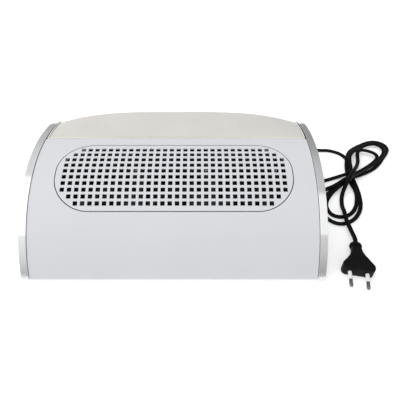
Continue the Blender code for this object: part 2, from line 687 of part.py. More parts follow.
def dust_bag():
    """A cloth bag, open at its mouth, which stretches over the outlet spigot."""
    half_z = OUTLET_HALF_Z + SPIGOT_WALL + 0.0006 + BAG_CLOTH
    low, high = OUTLET_Z - half_z, OUTLET_Z + half_z
    work = bmesh.new()
    before = []
    for y, bottom, top, inset in (
        (BAG_START, low, high, 0), (0.211, low, high, 0), (0.224, 0.0068, 0.0530, 0),
        (0.238, 0.0055, 0.0490, 0), (0.250, 0.0062, 0.0440, 0.001), (0.259, 0.0090, 0.0370, 0.004),
        (BAG_END, 0.0150, 0.0300, 0.010),
    ):
        section = rounded_rectangle(BAG_HALF_X - inset, (top - bottom) / 2, BAG_ROUND - inset * 0.3, 4)
        ring = [work.verts.new((x, y, (top + bottom) / 2 + z)) for x, z in section]
        for i in range(len(before)):
            work.faces.new((ring[i - 1], ring[i], before[i], before[i - 1]))
        before = ring
    work.faces.new(reversed(before))
    mesh = bpy.data.meshes.new("bag")
    work.to_mesh(mesh)
    work.free()
    bag = add("dust_bag", mesh, CLOTH)
    cloth = bag.modifiers.new("cloth", "SOLIDIFY")
    cloth.thickness = BAG_CLOTH
    cloth.offset = -1
    clear = 0.0005
    inner = rounded_rectangle(BAG_HALF_X + clear, half_z + clear, BAG_ROUND + clear, 4)
    wide = clear + BAND_THICK
    outer = rounded_rectangle(BAG_HALF_X + wide, half_z + wide, BAG_ROUND + wide, 4)
    add("bag_elastic", flat_mesh([outer, inner], BAND_WIDTH), ELASTIC, (0, BAND_Y, OUTLET_Z), UPRIGHT)


# Switch and electronics

def switch():
    """A rocker switch, pushed into its cutout from outside, with the rocker tipped to one side."""
    outer_x = TRIM_INNER_X + SIDE_PANEL + GAP
    depth, flange = 0.015, 0.0015
    body = box_mesh((depth, *SWITCH_BODY))
    place = (outer_x + 0.0005 - depth / 2, SWITCH_Y, SWITCH_Z)
    housing = add("switch_housing", body, BLACK_PLASTIC, place)
    place = (outer_x + flange / 2, SWITCH_Y, SWITCH_Z)
    combine(housing, add("switch_flange", box_mesh((flange, *SWITCH_FLANGE)), at=place), "UNION")
    place = (outer_x + 0.0002, SWITCH_Y, SWITCH_Z)
    combine(housing, add("switch_well", box_mesh((0.012, *SWITCH_OPENING)), at=place))
    finished(housing)
    outline = [(-0.007, -0.0015), (0.007, -0.0015), (0.007, 0.0052), (0, 0.0042), (-0.007, 0.0052)]
    place = (outer_x - 0.0027, SWITCH_Y, SWITCH_Z)
    rocker = add("switch_rocker", flat_mesh([outline], 0.009), BLACK_PLASTIC, place)
    rocker.rotation_euler = Matrix(((0, 1, 0), (1, 0, 0), (0, 0, -1))).to_euler()
    rocker.rotation_euler.rotate_axis("Z", ROCKER_TILT)


def electronics():
    board_z = 0.012
    add("power_board", box_mesh((0.038, 0.046, 0.0016)), BOARD_GREEN, (0.117, 0.165, board_z + 0.0008))
    top = board_z + 0.0016 + GAP
    add("transformer", box_mesh((0.024, 0.022, 0.020)), WINDING, (0.112, 0.156, top + 0.010))
    add("capacitor", rod_mesh(0.005, 0.016, 16), BLACK_PLASTIC, (0.130, 0.151, top))
    add("terminal_block", box_mesh((0.016, 0.009, 0.010)), SLEEVE, (0.122, 0.1815, top + 0.005))


def strain_relief():
    """The ribbed boot where the lead leaves the rear panel, with a flange outside and a plug inside."""
    profile = [(0, RELIEF_END), (0.0034, RELIEF_END)]
    ribs = 5
    for number in range(ribs):
        t = (number + 0.5) / ribs
        y = RELIEF_END - 0.001 - t * 0.019
        radius = 0.0036 + t * 0.0018
        profile += [(radius, y), (radius - 0.0006, y - 0.0016)]
    neck, inside = 0.0040, 0.1925
    profile += [(0.0056, 0.2030), (0.0074, 0.2025), (0.0074, PANEL_REAR + GAP), (neck, PANEL_REAR + GAP)]
    profile += [(neck, inside), (0, inside)]
    place = (RELIEF_X, 0, RELIEF_Z)
    add("strain_relief", turned_mesh(profile, 16), BLACK_PLASTIC, place, (-math.pi / 2, 0, 0))


# Mains lead

def tube(name, route, per_span, finish):
    curve = bpy.data.curves.new(name, "CURVE")
    curve.dimensions = "3D"
    curve.bevel_depth = CORD_WIDTH / 2
    curve.bevel_resolution = 2
    curve.use_fill_caps = True
    line = smooth_through(route, per_span)
    spline = curve.splines.new("POLY")
    spline.points.add(len(line) - 1)
    for point, place in zip(spline.points, line):
        point.co = (*place, 1)
    obj = bpy.data.objects.new(name, curve)
    PARTS.objects.link(obj)
    obj.parent = ROOT
    curve.materials.append(finish)


def mains_lead():
    tube("cord_lead", LEAD_ROUTE, 2, BLACK_PLASTIC)
    outline = smooth_through([(*point, 0) for point in HANK_OUTLINE], 2, closed=True)
    hank = flat_mesh([[point[:2] for point in outline]], HANK_HEIGHT)
    add("cord_hank", hank, BLACK_PLASTIC, (0, 0, HANK_HEIGHT / 2 + 0.0002))
    tube("cord_tail", TAIL_ROUTE, 2, BLACK_PLASTIC)


def plug():
    """A flat two-pin plug. Its local Y runs from the collar to the pins."""
    anchor = bpy.data.objects.new("plug_origin", None)
    PARTS.objects.link(anchor)
    anchor.parent = ROOT
    anchor.location = PLUG_AT
    anchor.rotation_euler.z = PLUG_TURN
    outline = [*PLUG_SIDE, *((-x, y) for x, y in reversed(PLUG_SIDE))]
    body = add("plug_body", flat_mesh([outline], PLUG_THICK), BLACK_PLASTIC, parent=anchor)
    neck, full, ahead = PLUG_NECK_THICK / 2, PLUG_THICK / 2 + 0.0005, PLUG_LENGTH + 0.001
    upper = [(0, neck), (PLUG_NECK_END, neck), (PLUG_FULL_AT, full), (ahead, full)]
    side_view = [*upper, *((y, -z) for y, z in reversed(upper))]
    combine(body, add("plug_taper", flat_mesh([side_view], 0.05), turn=ACROSS, parent=anchor), "INTERSECT")
    rounding = body.modifiers.new("rounding", "BEVEL")
    rounding.width = 0.0025
    rounding.segments = 3
    rounding.limit_method = "ANGLE"
    rounding.angle_limit = math.radians(60)
    tilt = (-math.pi / 2, 0, COLLAR_LEAN)
    combine(body, add("plug_collar", turned_mesh(COLLAR, 24), turn=tilt, parent=anchor), "UNION")
    finished(body)
    sleeve = rod_mesh(PIN_RADIUS, SLEEVE_LENGTH - GAP, 16)
    tip_length = PIN_LENGTH - SLEEVE_LENGTH - GAP
    rounded_end = ((0, 0), (0.0011, 0.0002), (0.0017, 0.0009), (0.0019, 0.002))
    tip = turned_mesh([*((x, tip_length - down) for x, down in rounded_end), (0.0019, 0), (0, 0)], 16)
    for side, name in ((1, "left"), (-1, "right")):
        turn = Matrix.Rotation(side * PIN_LEAN, 3, "Z")
        base = Vector((side * PIN_SPACING / 2, PLUG_LENGTH + GAP, 0))
        turned = (turn @ Matrix.Rotation(-math.pi / 2, 3, "X")).to_euler()
        add(f"plug_sleeve_{name}", sleeve, SLEEVE, base, turned, anchor)
        add(f"plug_pin_{name}", tip, STEEL, base + turn @ Vector((0, SLEEVE_LENGTH, 0)), turned, anchor)


top_cover()
grille()
hand_rest()
side_parts(-1, "left")
side_parts(1, "right")
base_pan()
feet()
screws()
fans()
fan_deck()
rear_panel()
dust_bag()
switch()
electronics()
strain_relief()
mains_lead()
plug()
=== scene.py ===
"""The looks of a desk-top nail dust collector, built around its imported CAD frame. Metres, +Z up, -Y front."""
import json
import math

import bmesh
import bpy
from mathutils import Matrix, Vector, noise

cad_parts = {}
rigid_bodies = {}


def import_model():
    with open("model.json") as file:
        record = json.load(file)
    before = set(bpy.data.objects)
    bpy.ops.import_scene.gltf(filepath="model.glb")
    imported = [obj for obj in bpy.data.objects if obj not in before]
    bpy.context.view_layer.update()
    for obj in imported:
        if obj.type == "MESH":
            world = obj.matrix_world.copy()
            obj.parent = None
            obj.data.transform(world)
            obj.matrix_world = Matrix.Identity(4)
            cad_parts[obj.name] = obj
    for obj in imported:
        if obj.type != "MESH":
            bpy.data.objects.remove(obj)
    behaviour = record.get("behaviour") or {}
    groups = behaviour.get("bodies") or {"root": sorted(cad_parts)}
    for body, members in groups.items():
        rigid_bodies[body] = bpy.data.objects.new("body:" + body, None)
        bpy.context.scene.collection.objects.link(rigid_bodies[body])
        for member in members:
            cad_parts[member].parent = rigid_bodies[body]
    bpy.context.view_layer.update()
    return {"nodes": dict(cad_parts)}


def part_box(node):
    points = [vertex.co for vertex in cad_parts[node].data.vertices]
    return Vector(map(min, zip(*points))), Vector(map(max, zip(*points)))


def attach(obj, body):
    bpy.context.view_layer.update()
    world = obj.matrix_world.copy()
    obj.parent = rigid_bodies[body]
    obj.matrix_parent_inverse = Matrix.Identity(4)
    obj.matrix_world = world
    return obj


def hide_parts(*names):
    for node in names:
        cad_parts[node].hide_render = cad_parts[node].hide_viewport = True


for startup_object in list(bpy.data.objects):
    bpy.data.objects.remove(startup_object, do_unlink=True)

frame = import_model()
NODES = frame["nodes"]

# The front bottom edge of the top cover, which the routes below count Y from
FRONT_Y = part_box("top_cover")[0].y
FLOOR_Z = 0.0


# Camera, light and floor

CAMERA_AT = (0.0279, FRONT_Y - 0.2284, 0.3492)
CAMERA_TILT = math.radians(45)
CAMERA_LENS = 34.65


def camera():
    data = bpy.data.cameras.new("camera")
    data.lens = CAMERA_LENS
    data.sensor_width = 36
    data.clip_start = 0.01
    eye = bpy.data.objects.new("camera", data)
    eye.location = CAMERA_AT
    eye.rotation_euler = (CAMERA_TILT, 0, 0)
    bpy.context.scene.collection.objects.link(eye)
    bpy.context.scene.camera = eye


def lamp(name, at, size, power):
    """A square light that brightens surfaces and casts shadows but has no reflection of its own."""
    data = bpy.data.lights.new(name, "AREA")
    data.size = size
    data.energy = power
    light = bpy.data.objects.new(name, data)
    light.location = at
    light.rotation_euler = (Vector(LAMP_AIM) - Vector(at)).to_track_quat("-Z", "Y").to_euler()
    light.visible_glossy = False
    bpy.context.scene.collection.objects.link(light)


# Brightness of the surroundings by angle, in degrees up from the front horizon and over to the rear
SURROUNDINGS = (
    (0, 0.62), (11, 0.80), (26, 0.98), (40, 1.10), (42, 1.62), (88, 1.62), (93, 0.98), (116, 0.92),
    (143, 0.68), (162, 0.56), (180, 0.52),
)
BRIGHTEST = 1.7
# How far the bright band leans to the rear on the left side, in degrees, and how much brighter that side is
BAND_LEAN = 26
LEFT_GAIN = 0.40
# The lean applies only from this angle on
LEAN_FROM = 60
# Each lamp's name, place, side in metres and power in watts
LAMPS = (
    ("rear_lamp", (-0.8, 0.9, 1.7), 0.35, 5),
    ("top_lamp", (-0.3, 0.3, 1.9), 1.2, 5.5),
)
LAMP_AIM = (0.05, 0, 0.03)


def math_node(tree, operation, a, b):
    """The result of a maths node on two values, each a number or another node's output."""
    made = tree.nodes.new("ShaderNodeMath")
    made.operation = operation
    for socket, value in zip(made.inputs, (a, b)):
        if isinstance(value, (int, float)):
            socket.default_value = value
        else:
            tree.links.new(value, socket)
    return made.outputs[0]


def studio():
    """A pale room with a broad bright panel from in front to overhead, and two unreflected lamps."""
    world = bpy.data.worlds.new("studio")
    bpy.context.scene.world = world
    world.use_nodes = True
    nodes, links = world.node_tree.nodes, world.node_tree.links
    nodes.clear()

    def calculate(operation, a, b):
        return math_node(world.node_tree, operation, a, b)

    split = nodes.new("ShaderNodeSeparateXYZ")
    links.new(nodes.new("ShaderNodeTexCoord").outputs["Generated"], split.inputs[0])
    x, y, z = split.outputs
    over = calculate("DIVIDE", calculate("ARCTAN2", z, calculate("MULTIPLY", y, -1)), math.pi)
    lean = calculate("MULTIPLY", x, BAND_LEAN / 180)
    rear = calculate("GREATER_THAN", over, LEAN_FROM / 180)
    ramp = nodes.new("ShaderNodeValToRGB")
    stops = ramp.color_ramp.elements
    stops.remove(stops[1])
    for number, (angle, value) in enumerate(SURROUNDINGS):
        stop = stops[0] if number == 0 else stops.new(angle / 180)
        stop.position = angle / 180
        level = value / BRIGHTEST
        stop.color = (level, level, level, 1)
    links.new(calculate("ADD", over, calculate("MULTIPLY", lean, rear)), ramp.inputs[0])
    side = calculate("SUBTRACT", 1, calculate("MULTIPLY", x, LEFT_GAIN))
    level = calculate("MULTIPLY", calculate("MULTIPLY", ramp.outputs[0], BRIGHTEST), side)
    background = nodes.new("ShaderNodeBackground")
    links.new(level, background.inputs["Strength"])
    links.new(background.outputs[0], nodes.new("ShaderNodeOutputWorld").inputs[0])
    for each in LAMPS:
        lamp(*each)
    view = bpy.context.scene.view_settings
    view.view_transform = "Standard"
    view.look = "None"


FLOOR_SIZE = 4
FLOOR_GLOW = 0.34


def floor():
    """A white sheet that glows a little, so that it stays white right up to the object."""
    bpy.ops.mesh.primitive_plane_add(size=FLOOR_SIZE, location=(0, 0, FLOOR_Z))
    ground = bpy.context.object
    ground.name = "floor"
    finish = new_material("floor_paper")
    shader = finish.node_tree.nodes["Principled BSDF"]
    shader.inputs["Base Color"].default_value = (0.80, 0.80, 0.80, 1)
    shader.inputs["Roughness"].default_value = 0.9
    shader.inputs["Emission Color"].default_value = (1, 1, 1, 1)
    shader.inputs["Emission Strength"].default_value = FLOOR_GLOW
    ground.data.materials.append(finish)


# Materials. Each is made of nodes laid out in object space, with sizes in metres.

def new_material(name):
    finish = bpy.data.materials.new(name)
    finish.use_nodes = True
    return finish


class Finish:
    """A Principled material with helpers that add procedural detail to it."""

    def __init__(self, name, colour, roughness, metallic=0.0):
        self.material = new_material(name)
        self.tree = self.material.node_tree
        self.shader = self.tree.nodes["Principled BSDF"]
        self.colour = colour
        self.set("Base Color", (*colour, 1))
        self.set("Roughness", roughness)
        self.set("Metallic", metallic)
        self.place = self.node("ShaderNodeTexCoord").outputs["Object"]
        self.height = None

    def node(self, kind, **values):
        made = self.tree.nodes.new(kind)
        for name, value in values.items():
            setattr(made, name, value)
        return made

    def link(self, source, target):
        self.tree.links.new(source, target)

    def set(self, socket, value):
        self.shader.inputs[socket].default_value = value
        return self

    def noise(self, size, detail=3.0, stretch=(1, 1, 1)):
        """Noise whose features are about size metres across, longer along an axis with a stretch over 1."""
        mapping = self.node("ShaderNodeMapping")
        mapping.inputs["Scale"].default_value = [1 / along for along in stretch]
        self.link(self.place, mapping.inputs["Vector"])
        texture = self.node("ShaderNodeTexNoise")
        texture.inputs["Scale"].default_value = 1 / size
        texture.inputs["Detail"].default_value = detail
        self.link(mapping.outputs[0], texture.inputs["Vector"])
        return texture.outputs[0]

    def cells(self, size, feature="F1", randomness=1.0):
        """Distances in a pattern of cells about size metres across."""
        texture = self.node("ShaderNodeTexVoronoi", feature=feature)
        texture.inputs["Scale"].default_value = 1 / size
        texture.inputs["Randomness"].default_value = randomness
        self.link(self.place, texture.inputs["Vector"])
        return texture.outputs["Distance"]

    def waves(self, spacing, axis):
        """Soft bands this far apart along the axis."""
        texture = self.node("ShaderNodeTexWave", wave_type="BANDS", bands_direction=axis, wave_profile="SIN")
        texture.inputs["Scale"].default_value = math.pi / (10 * spacing)
        self.link(self.place, texture.inputs["Vector"])
        return texture.outputs["Fac"]

    def span(self, value, low, high, from_low=0.0, from_high=1.0):
        """The value spread over low to high, and held at each end."""
        ramp = self.node("ShaderNodeMapRange")
        ends = {"From Min": from_low, "From Max": from_high, "To Min": low, "To Max": high}
        for name, number in ends.items():
            ramp.inputs[name].default_value = number
        self.link(value, ramp.inputs["Value"])
        return ramp.outputs["Result"]

    def math(self, operation, a, b):
        return math_node(self.tree, operation, a, b)

    def vary_colour(self, value, other, low=0.35, high=0.65):
        """Blends to the other colour as the value goes from low to high."""
        mix = self.node("ShaderNodeMix", data_type="RGBA")
        mix.inputs["A"].default_value = (*self.colour, 1)
        mix.inputs["B"].default_value = (*other, 1)
        self.link(self.span(value, 0, 1, low, high), mix.inputs["Factor"])
        self.link(mix.outputs["Result"], self.shader.inputs["Base Color"])
        return self

    def vary_roughness(self, value, low, high):
        self.link(self.span(value, low, high, 0.3, 0.7), self.shader.inputs["Roughness"])
        return self

    def bump(self, value, depth, strength=1.0):
        """Adds relief of this depth in metres, on top of any that is there already."""
        made = self.node("ShaderNodeBump")
        made.inputs["Distance"].default_value = depth
        made.inputs["Strength"].default_value = strength
        self.link(value, made.inputs["Height"])
        if self.height is not None:
            self.link(self.height, made.inputs["Normal"])
        self.height = made.outputs[0]
        self.link(self.height, self.shader.inputs["Normal"])
        return self


def gloss_white():
    """Injection-moulded ABS: glossy, cool white, with the faint orange peel of a polished mould."""
    made = Finish("gloss_white_abs", (0.620, 0.626, 0.655), 0.17)
    made.set("Specular IOR Level", 0.36).set("Coat Weight", 0.08).set("Coat Roughness", 0.06)
    made.vary_colour(made.noise(0.12, 2), (0.606, 0.613, 0.642))
    made.vary_roughness(made.noise(0.004, 4), 0.13, 0.24)
    return made.bump(made.noise(0.0045, 2), 0.00003, 0.5)


def chrome():
    """Bright chrome plating over moulded plastic."""
    made = Finish("chrome_plate", (0.80, 0.81, 0.82), 0.07, 1.0)
    made.vary_colour(made.noise(0.05, 3), (0.74, 0.75, 0.76))
    made.vary_roughness(made.noise(0.0022, 5), 0.05, 0.14)
    return made.bump(made.noise(0.006, 2), 0.00003, 0.4)


def leatherette():
    """Cream PU leather with a fine pebbled grain."""
    made = Finish("cream_leatherette", (0.608, 0.590, 0.560), 0.46)
    made.set("Sheen Weight", 0.12).set("Sheen Roughness", 0.4).set("Specular IOR Level", 0.4)
    grain = made.cells(0.0011)
    made.vary_colour(made.noise(0.045, 4), (0.584, 0.568, 0.540))
    made.vary_roughness(grain, 0.38, 0.56)
    made.bump(grain, 0.00012, 0.75)
    return made.bump(made.noise(0.0004, 5), 0.00004, 0.6)


def moulded(name, colour, other, roughness, grain=0.0006, depth=0.00003):
    """A moulded plastic or rubber with a fine matt texture."""
    made = Finish(name, colour, roughness)
    made.vary_colour(made.noise(0.02, 4), other)
    made.vary_roughness(made.noise(0.0015, 4), roughness - 0.06, roughness + 0.08)
    return made.bump(made.noise(grain, 3), depth, 0.8)


def cord_sheath():
    made = Finish("cord_sheath", (0.0015, 0.0015, 0.0016), 0.40)
    made.set("Specular IOR Level", 0.10)
    made.vary_colour(made.noise(0.02, 3), (0.003, 0.003, 0.0032))
    made.vary_roughness(made.noise(0.002, 4), 0.34, 0.50)
    return made.bump(made.noise(0.0008, 3), 0.00003, 0.6)


def plug_rubber():
    """The plug's moulding: a little paler and duller than the lead."""
    made = Finish("plug_rubber", (0.0025, 0.0025, 0.0026), 0.55)
    made.set("Specular IOR Level", 0.12)
    made.vary_colour(made.noise(0.012, 4), (0.004, 0.004, 0.0041))
    made.vary_roughness(made.noise(0.0015, 4), 0.48, 0.64)
    return made.bump(made.noise(0.0007, 4), 0.00004, 0.8)


def plain_weave(name, colour, other, thread=0.0009, depth=0.00012):
    made = Finish(name, colour, 0.88)
    made.set("Sheen Weight", 0.25)
    warp = made.waves(thread, "X")
    weft = made.waves(thread, "DIAGONAL")
    both = made.math("MULTIPLY", warp, weft)
    made.vary_colour(made.noise(0.004, 4), other)
    made.bump(made.math("ADD", both, made.noise(0.0004, 3)), depth, 0.7)
    return made.bump(made.noise(0.022, 3, (1, 1, 2.5)), 0.0022, 0.55)


def elastic():
    made = Finish("elastic_webbing", (0.62, 0.62, 0.64), 0.82)
    ribs = made.waves(0.0012, "Y")
    made.vary_colour(made.noise(0.004, 3), (0.50, 0.50, 0.52))
    return made.bump(ribs, 0.00025, 0.9)


def brushed_steel(name="turned_steel", colour=(0.55, 0.55, 0.57), roughness=0.28):
    made = Finish(name, colour, roughness, 1.0)
    made.vary_roughness(made.noise(0.0012, 4, (6, 1, 1)), roughness - 0.08, roughness + 0.12)
    return made.bump(made.noise(0.0005, 3, (8, 1, 1)), 0.00002, 0.6)


def circuit_board():
    made = Finish("circuit_board", (0.012, 0.13, 0.055), 0.35)
    tracks = made.cells(0.0035, "DISTANCE_TO_EDGE", 0.35)
    made.vary_colour(tracks, (0.02, 0.20, 0.09), 0.02, 0.10)
    return made.bump(made.span(tracks, 0, 1, 0.05, 0.12), 0.00006, 0.6)


def coil_tape():
    made = Finish("coil_tape", (0.78, 0.52, 0.05), 0.38)
    made.vary_colour(made.noise(0.004, 4), (0.66, 0.42, 0.04))
    return made.bump(made.waves(0.0035, "Z"), 0.0001, 0.6)


# Shaping helpers

def smooth_group(angle):
    """A node group that shades smooth everywhere but at edges sharper than angle."""
    group = bpy.data.node_groups.new("smooth_by_angle", "GeometryNodeTree")
    group.interface.new_socket("Geometry", in_out="INPUT", socket_type="NodeSocketGeometry")
    group.interface.new_socket("Geometry", in_out="OUTPUT", socket_type="NodeSocketGeometry")
    source = group.nodes.new("NodeGroupInput")
    target = group.nodes.new("NodeGroupOutput")
    faces = group.nodes.new("GeometryNodeSetShadeSmooth")
    edges = group.nodes.new("GeometryNodeSetShadeSmooth")
    edges.domain = "EDGE"
    edges.inputs["Shade Smooth"].default_value = False
    between = group.nodes.new("GeometryNodeInputMeshEdgeAngle")
    sharp = group.nodes.new("FunctionNodeCompare")
    sharp.operation = "GREATER_THAN"
    sharp.inputs["B"].default_value = angle
    group.links.new(between.outputs["Unsigned Angle"], sharp.inputs["A"])
    group.links.new(source.outputs[0], faces.inputs["Geometry"])
    group.links.new(faces.outputs[0], edges.inputs["Geometry"])
    group.links.new(sharp.outputs["Result"], edges.inputs["Selection"])
    group.links.new(edges.outputs[0], target.inputs[0])
    return group


SMOOTH = smooth_group(math.radians(48))


def soften(obj, bevel=0.0, segments=2):
    """Welds a CAD mesh, rounds its edges and shades it smooth, leaving its own vertices as they are."""
    if "custom_normal" in obj.data.attributes:
        obj.data.attributes.remove(obj.data.attributes["custom_normal"])
    weld = obj.modifiers.new("weld", "WELD")
    weld.merge_threshold = 1e-6
    shading = obj.modifiers.new("shading", "NODES")
    shading.node_group = SMOOTH
    if bevel:
        rounding = obj.modifiers.new("rounding", "BEVEL")
        rounding.width = bevel
        rounding.segments = segments
        rounding.limit_method = "ANGLE"
        rounding.angle_limit = math.radians(40)
        rounding.harden_normals = True


def coat(obj, made):
    obj.data.materials.clear()
    obj.data.materials.append(made.material)
    return obj


def dress(names, made, bevel=0.0, segments=2):
    """Gives CAD nodes their material and rounded edges."""
    for name in names:
        coat(NODES[name], made)
        soften(NODES[name], bevel, segments)


def mesh_object(name, work, made):
    """A new piece from a bmesh, which is freed."""
    mesh = bpy.data.meshes.new(name)
    bmesh.ops.recalc_face_normals(work, faces=work.faces)
    work.to_mesh(mesh)
    work.free()
    mesh.shade_smooth()
    mesh.set_sharp_from_angle(angle=math.radians(50))
    obj = bpy.data.objects.new(name, mesh)
    bpy.context.scene.collection.objects.link(obj)
    return coat(obj, made)


def smooth_through(points, per_span):
    """A Catmull-Rom curve through the points."""
    points = [Vector(point) for point in points]
    around = [2 * points[0] - points[1], *points, 2 * points[-1] - points[-2]]
    line = []
    for i in range(1, len(points)):
        a, b, c, d = around[i - 1 : i + 3]
        for step in range(per_span):
            t = step / per_span
            line.append(0.5 * (2 * b + (c - a) * t + (2 * a - 5 * b + 4 * c - d) * t**2
                               + (3 * b - a - 3 * c + d) * t**3))
    return [*line, points[-1]]


def skin(work, rings, close_ends=True):
    """Faces between successive rings of vertices, each ring closed on itself."""
    for before, after in zip(rings, rings[1:]):
        for i in range(len(before)):
            work.faces.new((before[i - 1], before[i], after[i], after[i - 1]))
    if close_ends:
        work.faces.new(reversed(rings[0]))
        work.faces.new(rings[-1])


def rounded_section(half_x, half_z, radius, per_corner=8, per_side=14):
    """A rounded rectangle, longer in X, with points along its long sides too."""
    outline = []
    for turn in range(4):
        centre_x = (half_x - radius) * (1 if turn in (0, 3) else -1)
        centre_z = (half_z - radius) * (1 if turn < 2 else -1)
        for step in range(per_corner + 1):
            angle = (turn + step / per_corner) * math.pi / 2
            outline.append((centre_x + radius * math.cos(angle), centre_z + radius * math.sin(angle)))
        if turn in (0, 2):
            side = 1 if turn == 0 else -1
            for step in range(1, per_side):
                along = 2 * step / per_side - 1
                outline.append((-side * (half_x - radius) * along, side * half_z))
    return outline


# Mains lead: points of the centre line in millimetres, with Y from the cover's front edge

CORD_WIDTH, CORD_THICK = 0.0052, 0.0034
CORD_ROUTE = (
    (128.0, 225.6, 18.0), (128.4, 232.0, 17.0), (131.5, 240.0, 12.5), (138.5, 248.5, 6.5), (150.0, 252.5, 3.0),
    (165.0, 246.0, 1.8), (179.0, 234.0, 1.8), (192.0, 225.0, 1.8), (203.0, 221.8, 1.8), (212.5, 221.6, 1.8),
    (221.0, 219.3, 1.8), (229.0, 214.5, 1.8), (235.0, 206.5, 1.8), (237.4, 195.6, 1.8), (237.0, 182.8, 1.8),
    (235.4, 170.6, 1.8), (234.4, 157.6, 1.8), (234.4, 142.5, 1.8), (233.7, 129.2, 1.8), (231.8, 116.4, 1.8),
    (229.0, 106.3, 1.8), (224.1, 96.5, 1.8), (216.8, 87.4, 1.8), (208.1, 81.2, 1.8), (199.8, 78.6, 1.8),
    (191.9, 79.6, 1.8), (184.6, 85.0, 1.8), (180.0, 93.0, 1.8), (180.2, 104.1, 1.8), (184.6, 116.4, 1.8),
    (191.5, 127.5, 1.8), (200.0, 136.9, 1.8), (209.3, 144.5, 2.4), (218.8, 151.0, 3.8), (228.0, 156.8, 4.8),
    (238.0, 161.0, 4.4), (249.7, 167.7, 3.0), (261.8, 175.2, 1.8), (272.6, 183.5, 1.8), (281.0, 192.5, 1.8),
    (289.2, 203.4, 1.8), (297.2, 213.9, 1.8), (302.2, 223.2, 1.8), (302.0, 232.5, 1.8), (296.3, 239.5, 1.8),
    (287.7, 242.0, 1.8), (277.4, 239.9, 1.8), (267.0, 234.3, 1.8), (256.4, 227.2, 2.4), (247.2, 218.7, 3.8),
    (240.4, 209.0, 4.8), (235.4, 197.2, 4.4), (231.6, 182.7, 2.8), (229.6, 169.9, 1.8), (228.4, 158.8, 1.8),
    (229.4, 148.3, 2.0), (230.4, 136.9, 2.8), (229.6, 126.3, 2.6), (227.0, 116.4, 2.2), (223.4, 107.4, 1.8),
    (218.0, 99.2, 1.8), (211.3, 93.2, 1.8), (204.3, 90.2, 1.8), (197.1, 90.0, 1.8), (190.6, 93.2, 1.8),
    (187.2, 100.0, 1.8), (186.6, 108.6, 2.0), (189.2, 117.0, 2.4), (194.0, 124.6, 3.0), (200.3, 131.8, 4.0),
    (208.0, 138.4, 5.6), (216.6, 145.4, 7.2), (225.6, 153.0, 7.8), (236.0, 161.2, 7.6), (249.9, 170.9, 6.4),
    (264.2, 181.8, 5.2), (276.0, 191.8, 4.8), (285.4, 202.2, 4.2), (292.4, 212.0, 4.6), (294.6, 221.6, 4.8),
    (291.0, 229.4, 4.8), (283.6, 232.9, 4.6), (274.0, 231.1, 4.4), (263.9, 225.0, 4.8), (254.4, 217.9, 6.0),
    (246.1, 210.2, 7.2), (240.0, 200.9, 6.8), (237.4, 188.8, 5.4), (235.6, 178.0, 5.2), (231.6, 169.6, 5.2),
    (225.4, 165.2, 5.0), (218.0, 163.4, 3.4), (207.8, 160.4, 1.9), (197.0, 156.4, 1.8), (187.0, 153.6, 1.8),
    (178.0, 150.6, 1.8), (172.4, 145.4, 1.8), (173.0, 139.2, 1.8), (179.6, 135.4, 1.8), (188.2, 136.2, 2.0),
    (196.4, 138.8, 4.0), (204.6, 141.4, 6.6), (213.0, 145.8, 9.0), (222.4, 151.6, 10.6), (234.0, 159.0, 10.6),
    (247.6, 169.2, 8.8), (261.0, 180.6, 6.8), (271.0, 189.6, 6.4), (277.6, 197.4, 6.6), (278.6, 205.0, 6.6),
    (274.4, 211.4, 6.4), (267.4, 215.4, 6.2), (259.8, 215.2, 7.2), (254.0, 210.4, 8.0), (251.6, 202.8, 6.6),
    (249.4, 192.8, 6.0), (244.8, 181.9, 8.0), (238.6, 170.9, 11.6), (231.4, 160.0, 13.2), (225.0, 150.6, 13.0),
    (220.0, 143.4, 11.0), (216.0, 137.0, 8.0), (212.6, 130.6, 4.6), (210.0, 123.9, 2.2), (207.7, 115.3, 1.8),
    (206.2, 106.3, 2.2), (205.2, 96.9, 4.6), (204.2, 87.4, 5.4), (203.8, 78.6, 5.4), (204.8, 71.6, 4.6),
    (205.0, 62.6, 5.4), (205.0, 52.0, 6.8), (203.6, 43.6, 7.0), (203.0, 40.6, 7.0),
)


def in_frame(point):
    x, y, z = point
    return Vector((x * 0.001, FRONT_Y + y * 0.001, FLOOR_Z + z * 0.001))


def cord_outline(steps=9):
    """Half-turns round two cores side by side, as across and up, with a shallow pinch between them."""
    core = CORD_THICK / 2
    offset = CORD_WIDTH / 2 - core
    right = []
    for i in range(steps + 1):
        angle = -math.pi / 2 + math.pi * i / steps
        right.append((offset + core * math.cos(angle), core * math.sin(angle)))
    pinch = core * 0.72
    return [*right, (0, pinch), *((-x, y) for x, y in reversed(right)), (0, -pinch)]


def mains_lead(made):
    """The flat two-core lead, swept along its route and kept lying flat."""
    line = smooth_through([in_frame(point) for point in CORD_ROUTE], 7)
    outline = cord_outline()
    work = bmesh.new()
    rings = []
    for i, point in enumerate(line):
        along = (line[min(i + 1, len(line) - 1)] - line[max(i - 1, 0)]).normalized()
        across = along.cross(Vector((0, 0, 1))).normalized()
        up = across.cross(along)
        rings.append([work.verts.new(point + across * x + up * z) for x, z in outline])
    skin(work, rings)
    lead = mesh_object("mains_lead", work, made)
    length = sum((b - a).length for a, b in zip(line, line[1:]))
    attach(lead, "housing")
    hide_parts("cord_lead", "cord_hank", "cord_tail")
    return lead, line, length


# The housing's arch from the side: two arcs that meet at the crest

CREST_Y = FRONT_Y + 0.1258
FRONT_RADIUS, REAR_RADIUS = 0.140, 0.190
FRONT_ARC_Z = -0.0584
REAR_ARC_Z = FRONT_ARC_Z + FRONT_RADIUS - REAR_RADIUS


